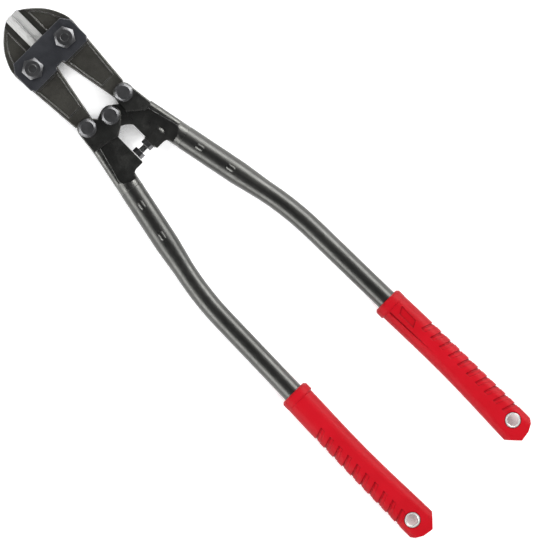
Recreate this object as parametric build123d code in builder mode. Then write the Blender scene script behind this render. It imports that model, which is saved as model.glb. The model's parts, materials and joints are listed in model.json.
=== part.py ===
from build123d import *
import math
import os

# Bolt cutters, lying flat: jaws towards +X, the user's left handle towards +Y, floor at z = 0.
# Plan positions below are counted from the centre pivot, where the two forks cross.

# Frame
pivot_x = 173.25            # centre pivot, ahead of the middle of the overall length
mid_z = 20.4                # middle plane of the tool above the floor

# Pivots, for the side towards +Y
link_x, link_y = 80.3, 20.5         # link bolts, which hold the jaws
toggle_x, toggle_y = 6.5, 23.2      # toggle bolts, between jaw tails and forks

# Jaws
jaw_half = 5.0              # half thickness
tip_x = 129.5
heel_r = 20.35              # rolling heel of each jaw about its link bolt
edge_gap = 0.15             # each cutting edge stays this far from the middle
bevel_width = 7.5           # ground bevel of each cutting edge
shoulder_width = 12.6       # forged slope behind the bevel ends here
shoulder_drop = 0.9
tail_end_r = 9.2
recess_depth = 1.4

# Link plates and link bolts
plate_gap = 5.2             # inner face of every plate from the middle plane
link_plate_t = 6.0
link_bolt_r = 6.0
link_hex = 18.0
link_head_h = 7.5

# Forks
fork_top = 11.4             # outer face of the fork plates
web_half = 5.0
web_inner = 8.9             # flat inner edges of the webs, from the middle
eye_r = 9.6
boss_r = 9.5
slot_r = 9.8                # round back wall of each slot
rounding = 0.9              # bevel on forged edges
open_pivot_middle = (0.07, -0.40)   # elongated hole in the right fork
open_pivot_run, open_pivot_lean = 4.4, 61

# Shank and tube
seam_x, seam_y = -61.0, 33.9
front_slope = math.degrees(math.atan(0.2045))
rear_slope = math.degrees(math.atan(0.0205))
shank_r = 11.0
bar_half_height, bar_corner_r = 9.6, 5.4    # flat-topped bar ahead of the round shank
bar_end_x = -51.5
tube_front_r = 11.2
tube_r = 9.75
tube_wall = 1.8
taper_start, taper_end = 60.0, 88.0     # along the tube, from the seam
bend_start = 92.0
bend_r = 300.0
rear_length = 254.0           # from the corner of the bend to the tube's end
crimps = (17.3, 51.2)       # crimp dimples along the tube, from the seam
crimp_r, crimp_run, crimp_depth = 3.8, 4.0, 1.4
spigot_length = 59.5

# Grips
grip_front, grip_rear = -297.5, -476.0
collar_length = 9.5
rib_pitch, rib_count = 11.6, 10
eyelet_x, eyelet_y = -456.8, 64.75
eyelet_bore_r = 5.2
eyelet_r = 7.1
eyelet_seat = 10.4          # seat of each eyelet flange from the middle plane

# Pivot bolts
pivot_bolt_r = 5.0
pivot_hex = 15.0
pivot_head_h = 6.3
washer_t = 1.3
spring_washer_t = 2.0
fit = 0.05                  # running clearance on a radius
tip_z = -mid_z              # every bolt ends on the floor plane
dish_depth = 0.25           # forged dish in each bolt head

# Stop screw, along Y in the right fork
stop_x = -42.3
stop_screw_r = 3.0
stop_hex = 10.0
stop_boss_r = 7.0
stop_boss_face = 7.9        # from the middle
stop_boss_end = 20.5
stop_nut_t = 5.0
stop_head_near, stop_head_far = 3.3, 8.5
thread_pitch, thread_depth, thread_count = 1.0, 0.5, 6

left, right = 1, -1


def level(z):
    """A plane parallel to the middle plane, z above it, centred on the centre pivot."""
    return Plane((pivot_x, 0, mid_z + z))


def upright(x, y, z):
    """A vertical plane through a plan point: local x runs along X and local y along Z."""
    return Plane((pivot_x + x, y, mid_z + z), x_dir=(1, 0, 0), z_dir=(0, -1, 0))


def save(builder, name):
    builder.part.label = name
    export_step(builder.part, f"parts/{name}.step")


def plan(side, points):
    """Plan points given for the +Y side, on the side asked for."""
    return [(x, side * y) for x, y in points]


def top_edges():
    return edges().group_by(Axis.Z)[-1]


def bottom_edges():
    return edges().group_by(Axis.Z)[0]


# ---------------------------------------------------------------- fasteners

def hex_crown(x, y, seat_z, across_flats, height, both_ends=False):
    """Cut the corners of a hexagon back to the usual 30 degree cone."""
    corner_r = across_flats / math.sqrt(3)
    flat_r = across_flats / 2 * 0.8
    drop = (corner_r - flat_r) * math.tan(math.radians(30))
    with BuildSketch(upright(x, y, seat_z)) as cone:
        with BuildLine():
            low = [(flat_r, 0), (corner_r, drop)] if both_ends else [(corner_r, 0)]
            Polyline((0, 0), *low, (corner_r, height - drop), (flat_r, height), (0, height), close=True)
        make_face()
    revolve(cone.sketch, axis=Axis((pivot_x + x, y, 0), (0, 0, 1)), mode=Mode.INTERSECT)


def hex_prism(x, y, seat_z, across_flats, height, turn=0):
    with BuildSketch(level(seat_z)) as hexagon:
        with Locations((x, y)):
            RegularPolygon(across_flats / 2, 6, major_radius=False, rotation=turn)
    extrude(hexagon.sketch, amount=height)


def make_bolt(name, x, y, seat_z, across_flats, head_h, shank, turn, dish_r=0):
    with BuildPart() as bolt:
        hex_prism(x, y, seat_z, across_flats, head_h, turn)
        hex_crown(x, y, seat_z, across_flats, head_h)
        if dish_r:
            with BuildSketch(level(seat_z + head_h)):
                with Locations((x, y)):
                    Circle(dish_r)
            extrude(amount=-dish_depth, mode=Mode.SUBTRACT)
        with BuildSketch(level(tip_z)):
            with Locations((x, y)):
                Circle(shank)
        extrude(amount=seat_z - tip_z)
        chamfer(bottom_edges(), length=0.9)
    save(bolt, name)


def make_nut(name, x, y, seat_z, across_flats, height, bore):
    """A nut under the tool, its upper face at seat_z."""
    with BuildPart() as nut:
        hex_prism(x, y, seat_z - height, across_flats, height)
        hex_crown(x, y, seat_z - height, across_flats, height, both_ends=True)
        with BuildSketch(level(seat_z - height)):
            with Locations((x, y)):
                Circle(bore)
        extrude(amount=height, mode=Mode.SUBTRACT)
    save(nut, name)


def make_washer(name, x, y, low_z, outer, bore, thickness, slit=False):
    with BuildPart() as washer:
        with BuildSketch(level(low_z)):
            with Locations((x, y)):
                Circle(outer)
                Circle(bore, mode=Mode.SUBTRACT)
        extrude(amount=thickness)
        chamfer(top_edges().sort_by(SortBy.LENGTH)[-1], length=0.3)
        if slit:
            with BuildSketch(level(low_z)):
                with Locations((x + (outer + bore) / 2, y)):
                    Rectangle(outer, 1.2, rotation=25)
            extrude(amount=thickness, mode=Mode.SUBTRACT)
    save(washer, name)


def pivot_stack(prefix, x, y, turn):
    """Bolt, flat washer and spring washer on top; flat washer and nut below."""
    head_z = fork_top + washer_t + spring_washer_t
    bore = pivot_bolt_r + 0.2
    make_bolt(f"{prefix}_bolt", x, y, head_z, pivot_hex, pivot_head_h, pivot_bolt_r, turn)
    make_washer(f"{prefix}_washer", x, y, fork_top, 8.6, bore, washer_t)
    make_washer(f"{prefix}_spring_washer", x, y, fork_top + washer_t, 8.0, bore, spring_washer_t, slit=True)
    make_washer(f"{prefix}_lower_washer", x, y, -fork_top - washer_t, 8.6, bore, washer_t)
    make_nut(f"{prefix}_nut", x, y, -fork_top - washer_t, pivot_hex, 6.5, pivot_bolt_r + fit)


# ---------------------------------------------------------------- link plates

def make_link_plate(name, inner_z):
    """The flat plate with faceted corners that carries both link bolts."""
    with BuildPart() as plate:
        with BuildSketch(level(inner_z)):
            with BuildLine():
                Polyline((96, 0), (96, 30), (88, 36), (68, 36), (63.5, 33), (63.5, 5.5), (66.5, 3.8), (66.5, 0))
                mirror(about=Plane.XZ)
            make_face()
            with Locations((link_x, link_y), (link_x, -link_y)):
                Circle(link_bolt_r + fit, mode=Mode.SUBTRACT)
        extrude(amount=link_plate_t)
        rim = edges().filter_by(GeomType.LINE)
        chamfer(rim.group_by(Axis.Z)[-1] + rim.group_by(Axis.Z)[0], length=0.5)
    save(plate, name)


# ---------------------------------------------------------------- jaws

def make_jaws():
    with BuildPart() as left_jaw:
        with BuildSketch(level(-jaw_half)):
            with BuildLine():
                heel = CenterArc((link_x, link_y), heel_r, -90, -10)
                Line(heel @ 0, (tip_x, edge_gap))
                Polyline((tip_x, edge_gap), (tip_x, 6.8), (128, 8.2))
                Spline((128, 8.2), (120, 18.9), (110, 28), (98, 34.3), (85, 36.7), tangents=((-0.55, 1), (-1, 0)))
                tail = Polyline((85, 36.7), (62, 34.8), (15, 30.9), (toggle_x, toggle_y))
                Polyline(tail @ 1, (10, 13.9), (65, 3.5), heel @ 1)
            make_face()
            with Locations((toggle_x, toggle_y)):
                Circle(tail_end_r)
        extrude(amount=2 * jaw_half)
        chamfer(top_edges() + bottom_edges(), length=rounding)

        # Sunk panels in both faces: a web behind the cutting edge and a long one in the tail.
        web_panel = [(91, 31), (97, 29.9), (105, 26.8), (113, 21.8), (120.4, 15), (119.9, 13.3), (91, 13.3)]
        tail_panel = [(25, 28.6), (62.6, 32.2), (62.6, 7), (25, 13.6)]
        for top in (1, -1):
            inward = Plane((pivot_x, 0, mid_z + top * jaw_half), x_dir=(1, 0, 0), z_dir=(0, 0, -top))
            for outline in (web_panel, tail_panel):
                with BuildSketch(inward):
                    with BuildLine():
                        Polyline(*plan(-top, outline), close=True)
                    make_face()
                extrude(amount=recess_depth, taper=25, mode=Mode.SUBTRACT)

        # Cutting edge ground from both faces, with a forged slope behind it.
        with BuildSketch(Plane((pivot_x + 91.5, 0, mid_z), x_dir=(0, 1, 0), z_dir=(1, 0, 0))):
            for top in (1, -1):
                with BuildLine():
                    Polyline((shoulder_width, top * jaw_half), (bevel_width, top * (jaw_half - shoulder_drop)),
                             (edge_gap, top * 0.25), (-2, top * 0.25), (-2, top * 7), (shoulder_width, top * 7),
                             close=True)
                make_face()
        extrude(amount=45, mode=Mode.SUBTRACT)

        with BuildSketch(level(-jaw_half)):
            with Locations((link_x, link_y)):
                Circle(link_bolt_r + fit)
            with Locations((toggle_x, toggle_y)):
                Circle(pivot_bolt_r + fit)
        extrude(amount=2 * jaw_half, mode=Mode.SUBTRACT)
    save(left_jaw, "left_jaw")

    with BuildPart() as right_jaw:
        mirror(left_jaw.part, about=Plane.XZ)
    save(right_jaw, "right_jaw")


# ---------------------------------------------------------------- forks

def axis_y(x):
    """Distance of the shank's centreline from the middle at x."""
    return seam_y + (x - seam_x) * -math.tan(math.radians(front_slope))


def tube_plane(side):
    """Plane of the seam, looking back along the tube."""
    angle = math.radians(front_slope)
    return Plane((pivot_x + seam_x, side * seam_y, mid_z), x_dir=(0, 0, 1),
                 z_dir=(-math.cos(angle), side * math.sin(angle), 0))


def add_shank(side, front_x):
    """Flat-topped outer bar, full round shank and the spigot that the tube is crimped on."""
    seam = tube_plane(side)
    slant = math.cos(math.radians(front_slope))
    bar_end = (bar_end_x - seam_x) / slant
    with BuildSketch(seam) as shank:
        Circle(shank_r)
    extrude(shank.sketch, amount=-bar_end)
    with BuildSketch(seam.offset(-bar_end)) as bar:
        RectangleRounded(2 * bar_half_height, 2 * shank_r, bar_corner_r)
    extrude(bar.sketch, amount=-(front_x - bar_end_x) / slant)
    with BuildSketch(seam) as spigot:
        Circle(tube_front_r - tube_wall - fit)
    extrude(spigot.sketch, amount=spigot_length)
    pocket = plan(side, [(0, axis_y(0) + 2.6), (-49.5, axis_y(-49.5) + 5.9), (-52.5, axis_y(-52.5) + 3.5),
                         (-56, axis_y(-56) - 2.5), (-57.5, 22), (-57.5, 5), (0, 5)])
    for top in (1, -1):
        with BuildSketch(level(top * web_half)) as opening:
            with BuildLine():
                Polyline(*pocket, close=True)
            make_face()
        extrude(opening.sketch, amount=top * 8, mode=Mode.SUBTRACT)


def add_web(side, front):
    """Flat web between the front of the fork and the shank, with a round throat at the back."""
    throat = (-51, 17.0)
    with BuildSketch(level(-web_half)) as web:
        with BuildLine():
            a, b = plan(side, [throat, (-60.5, 23.5)])
            Polyline(*plan(side, front + [(-20.5, web_inner), (-50.2, web_inner), (-51, 9.7), throat]))
            TangentArc(a, b, tangent=(0, side))
            Polyline(*plan(side, [(-60.5, 23.5), (-60.5, seam_y), (front[0][0], axis_y(front[0][0])), front[0]]))
        make_face()
    extrude(web.sketch, amount=2 * web_half)


def add_plates(side, outline, root):
    """Two plates, above and below the slot, joined to the web by a solid root."""
    for low_z in (plate_gap, -fork_top):
        with BuildSketch(level(low_z)) as plate:
            with BuildLine():
                Polyline(*plan(side, outline), close=True)
            make_face()
            with Locations((toggle_x, side * toggle_y)):
                Circle(boss_r)
            if side == left:
                Circle(eye_r)
        extrude(plate.sketch, amount=fork_top - plate_gap)
    chamfer(top_edges() + bottom_edges(), length=rounding)
    with BuildSketch(level(rounding - fork_top)) as block:
        with BuildLine():
            Polyline(*plan(side, root), close=True)
        make_face()
    extrude(block.sketch, amount=2 * (fork_top - rounding))


def cut_slot(side, clear_centre):
    """Round back walls that let the jaw tail, and the other fork's tongue, swing."""
    with BuildSketch(level(-plate_gap)) as slot:
        with Locations((toggle_x, side * toggle_y)):
            Circle(slot_r)
        if clear_centre:
            Circle(eye_r + 0.4)
    extrude(slot.sketch, amount=2 * plate_gap, mode=Mode.SUBTRACT)


def cut_bores(points):
    with BuildSketch(level(-fork_top)) as bores:
        with Locations(*points):
            Circle(pivot_bolt_r + fit)
    extrude(bores.sketch, amount=2 * fork_top, mode=Mode.SUBTRACT)


def make_left_fork():
    outline = [(-6.8, -6.8), (-13.2, 0.3), (-18.5, 8.7), (-16.4, 16), (-13.5, 35.2), (7.6, 32.6),
               (14, 17.4), (6.3, 10.8), (9.2, 2.8)]
    root = [(-17.7, 9), (-16.0, 15.6), (-13.6, 34.4), (-3, 33.3), (-2, 30.5), (-2, 17), (-6.5, 11.5), (-12, 8.8)]
    web_front = [(-3, 29), (-3, 17), (-7, 11), (-12, 8.5), (-18.5, 8.7)]
    with BuildPart() as fork:
        add_plates(left, outline, root)
        with BuildPart(mode=Mode.PRIVATE) as shank:
            add_shank(left, -13)
        add(shank.part)
        add_web(left, web_front)
        cut_slot(left, clear_centre=True)
        cut_bores([(0, 0), (toggle_x, toggle_y)])
    save(fork, "left_fork")


def make_right_fork():
    outline = [(5, 13.2), (-7.9, 12.6), (-19, 26.5), (-19.5, 33.2), (-16.4, 35), (4, 32.4)]
    root = [(-1.5, 13.4), (-7.6, 13.4), (-18.2, 26.8), (-18.6, 33.2), (-16.2, 34.2), (-3, 33.3), (-2, 30.5)]
    tongue = [(-3, 29), (2, 13.6), (8.3, 4.8), (0, 0), (-6.8, -6.8), (-13.4, 0.1), (-15, 3.6), (-18, 7)]
    with BuildPart() as fork:
        add_plates(right, outline, root)
        with BuildPart(mode=Mode.PRIVATE) as shank:
            add_shank(right, -18.5)
        add(shank.part)
        add_web(right, tongue)
        with BuildSketch(level(-web_half)):
            Circle(eye_r)
        extrude(amount=2 * web_half)
        cut_slot(right, clear_centre=False)
        cut_bores([(toggle_x, -toggle_y)])

        # The open pivot: an elongated hole that gives the centre bolt room over the whole travel.
        with BuildSketch(level(-web_half)):
            with Locations(open_pivot_middle):
                SlotCenterToCenter(open_pivot_run, 2 * pivot_bolt_r + 1.2, rotation=open_pivot_lean)
        extrude(amount=2 * web_half, mode=Mode.SUBTRACT)

        # Boss for the stop screw, rounded at its far end.
        with BuildSketch(Plane((pivot_x + stop_x, -stop_boss_face, mid_z), x_dir=(1, 0, 0), z_dir=(0, -1, 0))):
            Circle(stop_boss_r)
        extrude(amount=stop_boss_end - stop_boss_face)
        with Locations((pivot_x + stop_x, -stop_boss_end, mid_z)):
            Sphere(stop_boss_r)
        with BuildSketch(Plane((pivot_x + stop_x, 0, mid_z), x_dir=(1, 0, 0), z_dir=(0, -1, 0))):
            Circle(stop_screw_r + fit)
        extrude(amount=23.2, mode=Mode.SUBTRACT)
    save(fork, "right_fork")


# ---------------------------------------------------------------- stop screw

def make_stop_screw():
    def across(y):
        return Plane((pivot_x + stop_x, y, mid_z), x_dir=(1, 0, 0), z_dir=(0, -1, 0))

    with BuildPart() as screw:
        with BuildSketch(across(stop_head_far)):
            RegularPolygon(stop_hex / 2, 6, major_radius=False)
        extrude(amount=stop_head_far - stop_head_near)
        chamfer(faces().sort_by(Axis.Y)[-1].edges(), length=0.4)
        with BuildSketch(across(stop_head_near)):
            Circle(stop_screw_r)
        extrude(amount=stop_head_near + 19.5)

        # Thread roots that show between the lock nut and the head.
        with BuildSketch(level(0)) as roots:
            for i in range(thread_count):
                with BuildLine():
                    y = -2.4 + i * thread_pitch
                    root_x, crest_x = stop_x + stop_screw_r - thread_depth, stop_x + stop_screw_r + 0.1
                    Polyline((root_x, y), (crest_x, y - 0.45), (crest_x, y + 0.45), close=True)
                make_face()
        revolve(roots.sketch, axis=Axis((pivot_x + stop_x, 0, mid_z), (0, 1, 0)), mode=Mode.SUBTRACT)
    save(screw, "stop_screw")

    with BuildPart() as nut:
        with BuildSketch(across(-(stop_boss_face - stop_nut_t))):
            RegularPolygon(stop_hex / 2, 6, major_radius=False)
            Circle(stop_screw_r + fit, mode=Mode.SUBTRACT)
        extrude(amount=stop_nut_t)
        chamfer(edges().filter_by(GeomType.LINE).group_by(Axis.Y)[-1], length=0.4)
    save(nut, "stop_lock_nut")


# ---------------------------------------------------------------- tubes

def rear_axis_y(x):
    """Distance of the tube's centreline from the middle, behind its bend."""
    run = bend_start + bend_r * math.tan(math.radians(front_slope - rear_slope) / 2)
    corner = tube_plane(left).offset(run).origin
    return corner.Y + (corner.X - pivot_x - x) * math.tan(math.radians(rear_slope))


def make_tubes():
    """Bent steel tube, swaged wider at the front where it is crimped onto the shank."""
    seam = tube_plane(left)
    bend = front_slope - rear_slope
    bend_length = math.radians(bend) * bend_r
    with BuildPart() as left_tube:
        for inset, mode in ((0, Mode.ADD), (tube_wall, Mode.SUBTRACT)):
            wide, slim = tube_front_r - inset, tube_r - inset
            with BuildSketch(seam.offset(0.2)):
                Circle(wide)
            extrude(amount=taper_start - 0.2, mode=mode)
            with BuildSketch(seam.offset(taper_start)):
                Circle(wide)
            with BuildSketch(seam.offset(taper_end)):
                Circle(slim)
            loft(mode=mode)
            with BuildSketch(seam.offset(taper_end)):
                Circle(slim)
            extrude(amount=bend_start - taper_end, mode=mode)
            start = seam.offset(bend_start)
            flat = Plane(start.origin, x_dir=start.z_dir, z_dir=(0, 0, 1))
            with BuildLine(flat) as curve:
                JernArc((0, 0), (1, 0), bend_r, bend)
                Line(curve.edges()[0] @ 1, curve.edges()[0] @ 1
                     + (curve.edges()[0] % 1) * (rear_length - bend_length / 2))
            with BuildSketch(start):
                Circle(slim)
            sweep(path=curve.wires()[0], mode=mode)

        # Crimp dimples on both faces hold the tube to the spigot.
        for distance in crimps:
            for top in (1, -1):
                lift = Vector(0, 0, top * (tube_front_r + crimp_r - crimp_depth))
                with Locations(Plane(seam.offset(distance).origin + lift, z_dir=seam.z_dir)):
                    Cylinder(crimp_r, crimp_run, mode=Mode.SUBTRACT)
                    with Locations((0, 0, crimp_run / 2), (0, 0, -crimp_run / 2)):
                        Sphere(crimp_r, mode=Mode.SUBTRACT)
    save(left_tube, "left_tube")

    with BuildPart() as right_tube:
        mirror(left_tube.part, about=Plane.XZ)
    save(right_tube, "right_tube")


# ---------------------------------------------------------------- grips

def add_grip_body(inset):
    """Lofted hand grip: nearly round in front, wider and flatter at the end."""
    stations = [(grip_front - 4, 60.4, 27.4, 27.0, 11.0), (-350, 61.9, 27.6, 26.6, 10.5),
                (-400, 62.5, 28.3, 26.0, 10.0), (-450, 62.1, 30.6, 24.6, 8.0), (grip_rear, 61.8, 31.2, 23.6, 7.0)]
    sections = []
    for x, y, width, height, corner in stations:
        with BuildSketch(Plane((pivot_x + x, y, mid_z), x_dir=(0, 1, 0), z_dir=(-1, 0, 0))) as section:
            RectangleRounded(width - 2 * inset, height - 2 * inset, corner - inset)
        sections.append(section.sketch)
    loft(sections)


def make_grips():
    with BuildPart() as core:
        add_grip_body(1.0)
    with BuildPart() as skin_core:
        add_grip_body(0.45)

    # Slanted slabs that mark the finger ribs, kept to the skin of the outer half: each rib starts
    # behind a narrow deep line and rises from a wider shallow one.
    rib_start = -338.0
    with BuildPart() as grooves:
        for width, depth_core in ((1.6, core), (4.8, skin_core)):
            with BuildPart(mode=Mode.PRIVATE) as slabs:
                with BuildSketch(level(-15)):
                    for i in range(rib_count):
                        with BuildLine():
                            x = rib_start - i * rib_pitch
                            Polyline((x, 64.5), (x - 5.4, 80), (x - 6.4 - width, 80), (x - width, 64.5), close=True)
                        make_face()
                extrude(amount=30)
                add(depth_core.part, mode=Mode.SUBTRACT)
            add(slabs.part)

    with BuildPart() as left_grip:
        collar_front = Plane((pivot_x + grip_front, 60.0, mid_z), x_dir=(0, 1, 0), z_dir=(-1, 0, 0))
        with BuildSketch(collar_front):
            RectangleRounded(29.2, 28.4, 12)
        extrude(amount=collar_length)
        chamfer(faces().sort_by(Axis.X)[-1].edges(), length=2.0)
        chamfer(faces().sort_by(Axis.X)[0].edges(), length=0.8)
        add_grip_body(0)
        add(grooves.part, mode=Mode.SUBTRACT)

        # Chamfered end, seen from above.
        with BuildSketch(level(-20)):
            with BuildLine():
                Polyline((-464, 40), (-464, 46.2), (-476, 57.5), (-474.4, 67.5), (-470.6, 74.4), (-466.5, 77.6),
                         (-466.5, 85), (-485, 85), (-485, 40), close=True)
            make_face()
        extrude(amount=40, mode=Mode.SUBTRACT)

        # Seats and through hole for the eyelet.
        for top in (1, -1):
            with BuildSketch(level(top * eyelet_seat)):
                with Locations((eyelet_x, eyelet_y)):
                    Circle(eyelet_r + 0.5)
            extrude(amount=top * 8, mode=Mode.SUBTRACT)
        with BuildSketch(level(-20)):
            with Locations((eyelet_x, eyelet_y)):
                Circle(eyelet_bore_r + 0.9)
        extrude(amount=40, mode=Mode.SUBTRACT)

        # Blind bore for the tube.
        rear = math.radians(rear_slope)
        mouth = Plane((pivot_x + grip_front, rear_axis_y(grip_front), mid_z),
                      z_dir=(-math.cos(rear), math.sin(rear), 0))
        with BuildSketch(mouth.offset(-5)):
            Circle(tube_r + fit)
        extrude(amount=148, mode=Mode.SUBTRACT)
    save(left_grip, "left_grip")

    # Long tapering groove beside the badge, kept to the skin.
    with BuildPart() as ledge:
        with BuildSketch(level(5)):
            with BuildLine():
                Polyline((-308, -55.1), (-362, -56.6), (-308, -53.5), close=True)
            make_face()
        extrude(amount=12)
        mirror(core.part, about=Plane.XZ, mode=Mode.SUBTRACT)

    # The same moulding turned over, with a plain badge recess in the face that is then on top.
    with BuildPart() as right_grip:
        mirror(left_grip.part, about=Plane.XZ)
        add(ledge.part, mode=Mode.SUBTRACT)
        with BuildSketch(level(12.2)):
            with BuildLine():
                Polyline((-311, -66.4), (-329.5, -66.0), (-333, -59.6), (-315, -59.4), close=True)
            make_face()
        extrude(amount=3, mode=Mode.SUBTRACT)
    save(right_grip, "right_grip")


def make_eyelets():
    barrel_r = eyelet_bore_r + 0.7
    lip, crown = eyelet_seat + 0.6, eyelet_seat + 1.2
    crown_r = (eyelet_bore_r + eyelet_r) / 2
    with BuildPart() as left_eyelet:
        with BuildSketch(upright(eyelet_x, eyelet_y, 0)):
            with BuildLine():
                ThreePointArc((eyelet_bore_r, -lip), (crown_r, -crown), (eyelet_r, -eyelet_seat))
                Polyline((eyelet_r, -eyelet_seat), (barrel_r, -eyelet_seat), (barrel_r, eyelet_seat),
                         (eyelet_r, eyelet_seat))
                ThreePointArc((eyelet_r, eyelet_seat), (crown_r, crown), (eyelet_bore_r, lip))
                Line((eyelet_bore_r, lip), (eyelet_bore_r, -lip))
            make_face()
        revolve(axis=Axis((pivot_x + eyelet_x, eyelet_y, 0), (0, 0, 1)))
    save(left_eyelet, "left_eyelet")

    with BuildPart() as right_eyelet:
        mirror(left_eyelet.part, about=Plane.XZ)
    save(right_eyelet, "right_eyelet")


# ---------------------------------------------------------------- build

os.makedirs("parts", exist_ok=True)

make_link_plate("link_plate_top", plate_gap)
make_link_plate("link_plate_bottom", -plate_gap - link_plate_t)
link_seat = plate_gap + link_plate_t
for side, word, turn in ((left, "left", 4), (right, "right", 28)):
    make_bolt(f"link_bolt_{word}", link_x, side * link_y, link_seat, link_hex, link_head_h, link_bolt_r, turn, 3.8)
    make_nut(f"link_nut_{word}", link_x, side * link_y, -link_seat, link_hex, 7.6, link_bolt_r + fit)
    pivot_stack(f"{word}_toggle", toggle_x, side * toggle_y, 15)
pivot_stack("centre", 0, 0, 15)
make_jaws()
make_left_fork()
make_right_fork()
make_stop_screw()
make_tubes()
make_grips()
make_eyelets()
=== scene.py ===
import json
import math

import bpy
from mathutils import Matrix, Vector


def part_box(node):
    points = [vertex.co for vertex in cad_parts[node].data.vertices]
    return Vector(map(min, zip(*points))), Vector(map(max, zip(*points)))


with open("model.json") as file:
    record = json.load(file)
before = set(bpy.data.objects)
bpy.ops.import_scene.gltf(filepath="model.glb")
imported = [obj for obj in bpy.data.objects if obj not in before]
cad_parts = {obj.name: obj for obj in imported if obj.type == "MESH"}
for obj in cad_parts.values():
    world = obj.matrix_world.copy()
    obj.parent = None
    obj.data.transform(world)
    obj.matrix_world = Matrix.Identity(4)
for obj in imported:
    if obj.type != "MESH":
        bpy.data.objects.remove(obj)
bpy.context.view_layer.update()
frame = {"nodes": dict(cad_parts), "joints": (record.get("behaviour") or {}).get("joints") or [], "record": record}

# Bolt cutters seen from straight above on a pale studio floor. Metres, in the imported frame:
# +X towards the jaw tips, +Y towards the user's left handle, +Z up.

nodes = frame["nodes"]
joints = {joint["name"]: joint for joint in frame["joints"]}
mm = 0.001
steel = (0.42, 0.42, 0.41)      # bare steel, where paint and scale are rubbed off


# ---------------------------------------------------------------- node graphs

class Shader:
    """A material under construction: small helpers that add and link its nodes."""

    bevel_samples = 6

    def __init__(self, name, **settings):
        self.name = name
        self.material = bpy.data.materials.new(name)
        self.material.use_nodes = True
        self.tree = self.material.node_tree
        self.surface = self.tree.nodes["Principled BSDF"]
        for label, value in settings.items():
            self.surface.inputs[label.replace("_", " ")].default_value = value
        self.place = self.node("ShaderNodeTexCoord").outputs["Object"]

    def node(self, kind, **inputs):
        made = self.tree.nodes.new(kind)
        for label, value in inputs.items():
            self.feed(made.inputs[label.replace("_", " ")], value)
        return made

    def feed(self, socket, value):
        if isinstance(value, bpy.types.NodeSocket):
            self.tree.links.new(value, socket)
        else:
            socket.default_value = value

    def math(self, operation, *values, clamp=False):
        made = self.tree.nodes.new("ShaderNodeMath")
        made.operation = operation
        made.use_clamp = clamp
        for socket, value in zip(made.inputs, values):
            self.feed(socket, value)
        return made.outputs[0]

    def stretch(self, scale):
        """Object coordinates scaled by a different amount along each axis."""
        made = self.node("ShaderNodeMapping", Vector=self.place, Scale=scale)
        return made.outputs[0]

    def noise(self, scale, detail=4.0, roughness=0.55, space=None):
        made = self.node("ShaderNodeTexNoise", Vector=space or self.place, Scale=scale,
                         Detail=detail, Roughness=roughness)
        return made.outputs["Fac"]

    def fit(self, value, low, high, to_low=0.0, to_high=1.0):
        made = self.node("ShaderNodeMapRange", Value=value, From_Min=low, From_Max=high,
                         To_Min=to_low, To_Max=to_high)
        made.interpolation_type = "SMOOTHSTEP"
        return made.outputs["Result"]

    def mix(self, factor, first, second):
        made = self.tree.nodes.new("ShaderNodeMix")
        made.data_type = "RGBA"
        self.feed(made.inputs[0], factor)
        for socket, value in ((made.inputs[6], first), (made.inputs[7], second)):
            self.feed(socket, value if isinstance(value, bpy.types.NodeSocket) else (*value, 1.0))
        return made.outputs[2]

    def axis(self, index, source=None):
        made = self.node("ShaderNodeSeparateXYZ", Vector=source or self.place)
        return made.outputs[index]

    def worn_edges(self, radius, amount):
        """One on sharp edges and nought on flat faces, broken up by noise."""
        bevel = self.node("ShaderNodeBevel", Radius=radius)
        bevel.samples = self.bevel_samples
        flat = self.node("ShaderNodeNewGeometry").outputs["Normal"]
        dot = self.tree.nodes.new("ShaderNodeVectorMath")
        dot.operation = "DOT_PRODUCT"
        self.feed(dot.inputs[0], bevel.outputs[0])
        self.feed(dot.inputs[1], flat)
        edge = self.math("SUBTRACT", 1.0, dot.outputs["Value"])
        patchy = self.fit(self.noise(900.0, detail=3.0), 0.35, 0.65, 0.35, 1.0)
        return self.math("MULTIPLY", self.math("MULTIPLY", edge, amount), patchy, clamp=True)

    def bump(self, *layers, rounding=0.3 * mm):
        """Soften sharp edges, then stack height layers, each (height, distance in metres)."""
        bevel = self.node("ShaderNodeBevel", Radius=rounding)
        bevel.samples = self.bevel_samples
        normal = bevel.outputs[0]
        for height, distance in layers:
            made = self.node("ShaderNodeBump", Height=height, Distance=distance, Strength=1.0,
                             Normal=normal)
            normal = made.outputs[0]
        self.feed(self.surface.inputs["Normal"], normal)

    def colour(self, value):
        self.feed(self.surface.inputs["Base Color"], value)

    def roughness(self, value):
        self.feed(self.surface.inputs["Roughness"], value)

    def metallic(self, value):
        self.feed(self.surface.inputs["Metallic"], value)


# ---------------------------------------------------------------- materials

def forged_steel(name, dark, light, metal=0.7, grain=1.0, wear=5.0, gloss=0.42):
    """Blackened forging: shot-blasted grain, faint scale stains and rubbed edges."""
    s = Shader(name, Specular_IOR_Level=0.5)
    stains = s.fit(s.noise(55.0, detail=6.0), 0.3, 0.7)
    fine = s.noise(2600.0, detail=5.0, roughness=0.7)
    lumps = s.noise(420.0, detail=3.0)
    edge = s.worn_edges(0.7 * mm, wear)
    base = s.mix(stains, dark, light)
    base = s.mix(s.fit(fine, 0.35, 0.75, 0.0, 0.35), base, [min(1.0, 2.2 * c) for c in light])
    s.colour(s.mix(edge, base, steel))
    s.metallic(s.fit(edge, 0.0, 1.0, metal, 1.0))
    s.roughness(s.fit(s.noise(140.0, detail=5.0), 0.3, 0.7, gloss - 0.07, gloss + 0.1))
    s.bump((lumps, 0.10 * mm * grain), (fine, 0.07 * mm * grain))
    return s


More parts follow.
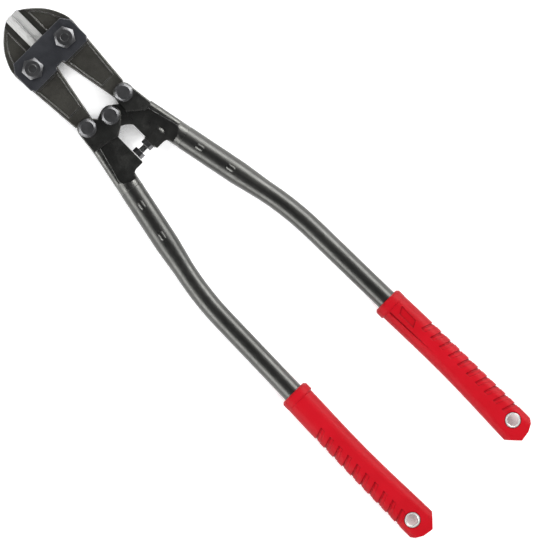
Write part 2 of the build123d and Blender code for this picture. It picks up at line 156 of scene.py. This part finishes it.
def ground_edges(s):
    """Bright ground faces of the cutting edges, with grinding lines, and a near-black band of painted shade behind
    them.
    """
    edge_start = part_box("link_plate_top")[1].x - 6 * mm
    ground_width = 7.6 * mm                         # each side of the line where the edges meet
    # Where the painted shade band lies, each side of the line where the edges meet.
    shade_band_middle, shade_band_half_width = 10.0 * mm, 2.45 * mm
    level_normal = 0.93                             # a face less upright than this is ground
    side = s.math("ABSOLUTE", s.axis(1))
    upright = s.math("ABSOLUTE", s.axis(2, s.node("ShaderNodeNewGeometry").outputs["True Normal"]))
    tilted = s.math("LESS_THAN", upright, level_normal)
    narrow = s.math("LESS_THAN", side, ground_width)
    ahead = s.math("GREATER_THAN", s.axis(0), edge_start)
    mask = s.math("MULTIPLY", s.math("MULTIPLY", tilted, narrow), ahead)
    lines = s.noise(1.0, detail=5.0, roughness=0.65, space=s.stretch((28.0, 2400.0, 2400.0)))
    old = {label: s.surface.inputs[label].links[0].from_socket
           for label in ("Base Color", "Metallic", "Roughness")}
    bright = s.mix(s.fit(lines, 0.3, 0.7), (0.205, 0.205, 0.20), (0.29, 0.29, 0.285))
    # Painted shade: a near-black band beside the ground faces, where the steeper strip looks dark.
    painted_shade_band = s.math("COMPARE", side, shade_band_middle, shade_band_half_width)
    shade_band_ahead = s.math("MULTIPLY", painted_shade_band, ahead)
    forged_and_shaded = s.mix(s.math("MULTIPLY", shade_band_ahead, 0.65), old["Base Color"], (0.006, 0.006, 0.006))
    s.colour(s.mix(mask, forged_and_shaded, bright))
    s.metallic(s.math("MAXIMUM", old["Metallic"], mask))
    rough = s.node("ShaderNodeMix", A=old["Roughness"], B=s.fit(lines, 0.2, 0.8, 0.42, 0.54))
    s.feed(rough.inputs[0], mask)
    s.roughness(rough.outputs[0])


def painted_tube():
    """Dark satin paint with a slight orange peel."""
    s = Shader("tube_paint", Metallic=1.0)
    drift = s.fit(s.noise(30.0, detail=5.0), 0.3, 0.7)
    peel = s.noise(1500.0, detail=2.0)
    edge = s.worn_edges(0.4 * mm, 3.0)
    base = s.mix(drift, (0.074, 0.074, 0.070), (0.092, 0.092, 0.087))
    s.colour(s.mix(edge, base, (0.30, 0.30, 0.29)))
    s.roughness(s.fit(s.noise(220.0, detail=5.0), 0.3, 0.7, 0.35, 0.42))
    s.bump((peel, 0.006 * mm))
    return s


def black_oxide(name, gloss=0.41):
    """Black bolts and nuts with bright, rubbed corners."""
    s = Shader(name, Specular_IOR_Level=0.7, Metallic=1.0)
    edge = s.worn_edges(0.45 * mm, 3.5)
    turned = s.noise(1400.0, detail=4.0)
    base = s.mix(s.fit(s.noise(90.0), 0.3, 0.7), (0.120, 0.120, 0.123), (0.170, 0.170, 0.174))
    s.colour(s.mix(edge, base, steel))
    s.roughness(s.fit(s.noise(300.0, detail=5.0), 0.3, 0.7, gloss - 0.05, gloss + 0.08))
    s.bump((turned, 0.012 * mm))
    return s


def red_grip():
    """Red rubber, with painted shade that darkens the colour towards a dark red in the grooves of the grip."""
    s = Shader("grip_red", Specular_IOR_Level=0.13)
    drift = s.fit(s.noise(22.0, detail=4.0), 0.3, 0.7)
    grain = s.noise(2200.0, detail=3.0)
    # Painted shade: ambient occlusion mixes the red towards a dark red in grooves and recesses.
    groove_shade_ao = s.node("ShaderNodeAmbientOcclusion", Distance=4 * mm)
    groove_shade_ao.samples = 8
    clear_of_painted_shade = s.fit(groove_shade_ao.outputs["AO"], 0.35, 1.0, 0.35, 1.0)
    red = s.mix(drift, (0.43, 0.003, 0.009), (0.49, 0.004, 0.012))
    s.colour(s.mix(clear_of_painted_shade, (0.10, 0.001, 0.003), red))
    s.roughness(s.fit(s.noise(160.0, detail=4.0), 0.3, 0.7, 0.44, 0.54))
    s.bump((grain, 0.06 * mm), rounding=0.8 * mm)
    return s


def nickel():
    """Pale plated metal with fine scuffs."""
    s = Shader("eyelet_nickel", Metallic=0.5)
    scuff = s.noise(700.0, detail=5.0, roughness=0.7)
    s.colour(s.mix(s.fit(scuff, 0.3, 0.75), (0.74, 0.735, 0.71), (0.86, 0.855, 0.83)))
    s.roughness(s.fit(scuff, 0.3, 0.7, 0.26, 0.40))
    s.bump((scuff, 0.01 * mm))
    return s


def paint_pieces():
    """One material for each slot that the record names."""
    shaders = [
        forged_steel("jaw_steel", (0.042, 0.040, 0.035), (0.061, 0.059, 0.051), grain=2.2, wear=8.0),
        forged_steel("fork_steel", (0.074, 0.074, 0.070), (0.098, 0.098, 0.092), metal=1.0, grain=1.4,
                     wear=1.3, gloss=0.34),
        forged_steel("plate_steel", (0.040, 0.042, 0.048), (0.059, 0.061, 0.069), grain=0.6, gloss=0.36),
        black_oxide("black_fastener"),
        black_oxide("stop_steel", gloss=0.36),
        painted_tube(),
        red_grip(),
        nickel(),
    ]
    ground_edges(shaders[0])
    slots = {shader.name: shader.material for shader in shaders}
    for part in frame["record"]["subparts"]:
        materials = nodes[part["node"]].data.materials
        materials.clear()
        materials.append(slots[part["material_slot"]])


# ---------------------------------------------------------------- stage, lights and camera

def floor():
    """Pale paper with painted light and shade: it glows a little, and painted shade greys it and dims the glow
    where the tool hides the sky from it.
    """
    s = Shader("floor_paper", Roughness=0.8, Specular_IOR_Level=0.2,
               Emission_Color=(1.0, 1.0, 1.0, 1.0))
    # Painted light and shade: the floor glows, and ambient occlusion dims the glow and greys the paper under and
    # beside the tool.
    sky = s.node("ShaderNodeAmbientOcclusion", Distance=30 * mm)
    sky.samples = 24
    clear_of_painted_shade = s.fit(sky.outputs["AO"], 0.24, 0.36)
    painted_glow = 0.45
    s.feed(s.surface.inputs["Emission Strength"], s.math("MULTIPLY", clear_of_painted_shade, painted_glow))
    paper = s.mix(s.noise(6.0), (0.91, 0.91, 0.91), (0.93, 0.93, 0.93))
    s.colour(s.mix(clear_of_painted_shade, (0.30, 0.30, 0.30), paper))
    half = 6.0
    corners = [(-half, -half, 0), (half, -half, 0), (half, half, 0), (-half, half, 0)]
    data = bpy.data.meshes.new("floor")
    data.from_pydata(corners, [], [(0, 1, 2, 3)])
    data.materials.append(s.material)
    plane = bpy.data.objects.new("floor", data)
    plane.location.z = -0.5 * mm
    bpy.context.scene.collection.objects.link(plane)


def soft_box(name, target_x, direction, distance, size, power, mirrored):
    """A large area light: a mirrored one shows in glossy surfaces, the others only light them."""
    data = bpy.data.lights.new(name, "AREA")
    data.shape = "RECTANGLE"
    data.size, data.size_y = size
    data.energy = power
    lamp = bpy.data.objects.new(name, data)
    lamp.visible_camera = False
    lamp.visible_glossy = mirrored
    lamp.visible_diffuse = not mirrored
    out = Vector(direction).normalized()
    across = Vector((0, 0, 1)).cross(out).normalized()
    turned = Matrix((across, out.cross(across), out)).transposed().to_4x4()
    lamp.matrix_world = Matrix.Translation(Vector((target_x, 0, 0)) + out * distance) @ turned
    bpy.context.scene.collection.objects.link(lamp)


def studio():
    """Boxes along both long sides that show in the metal, fills that don't, and a dark ceiling."""
    low, high = math.radians(64), math.radians(30)      # lean from upright
    mirror_reach, mirror_size, jaws_x = 1.3, (1.7, 0.60), 0.3
    fill_reach, fill_size, end_power = 2.2, (0.9, 0.9), 23.0
    for name, side, mirror_power, fill_power in (("right", -1, 26.0, 18.0), ("left", 1, 19.0, 3.0)):
        soft_box(f"mirror_{name}", jaws_x, (0, side * math.sin(low), math.cos(low)), mirror_reach,
                 mirror_size, mirror_power, mirrored=True)
        soft_box(f"fill_{name}", 0.0, (0, side * math.sin(high), math.cos(high)), fill_reach,
                 fill_size, fill_power, mirrored=False)
    for name, side in (("front", 1), ("back", -1)):
        soft_box(f"fill_{name}", 0.0, (side * math.sin(high), 0, math.cos(high)), fill_reach,
                 fill_size, end_power, mirrored=False)
    world = bpy.data.worlds.new("studio")
    world.use_nodes = True
    sky = world.node_tree.nodes
    link = world.node_tree.links.new
    background = sky["Background"]
    background.inputs["Color"].default_value = (0.95, 0.97, 1.0, 1.0)
    height = sky.new("ShaderNodeSeparateXYZ")
    link(sky.new("ShaderNodeTexCoord").outputs["Generated"], height.inputs[0])
    fade = sky.new("ShaderNodeMapRange")
    link(height.outputs[2], fade.inputs["Value"])
    for label, value in (("From Min", 0.25), ("From Max", 0.95), ("To Min", 0.28), ("To Max", 0.14)):
        fade.inputs[label].default_value = value
    link(fade.outputs["Result"], background.inputs["Strength"])
    bpy.context.scene.world = world
    bpy.context.scene.view_settings.view_transform = "Standard"


def camera():
    """Straight above, turned so that the tool runs from the upper left to the lower right."""
    toggle = Vector(joints["right_handle_fold"]["pos_m"])
    centre_pivot_x = toggle.x - 6.5 * mm
    target_behind, target_aside = 202.6 * mm, -3.6 * mm
    target = Vector((centre_pivot_x - target_behind, target_aside, toggle.z))
    view_width = 494.3 * mm
    height = 9.0
    turn = math.radians(45.2)
    right = Vector((-math.cos(turn), -math.sin(turn), 0))
    up = Vector((math.sin(turn), -math.cos(turn), 0))
    data = bpy.data.cameras.new("camera")
    data.sensor_width = 36.0
    data.lens = data.sensor_width * height / view_width
    data.clip_end = 20.0
    eye = bpy.data.objects.new("camera", data)
    turned = Matrix((right, up, Vector((0, 0, 1)))).transposed().to_4x4()
    eye.matrix_world = Matrix.Translation(target + Vector((0, 0, height))) @ turned
    bpy.context.scene.collection.objects.link(eye)
    bpy.context.scene.camera = eye


paint_pieces()
floor()
studio()
camera()
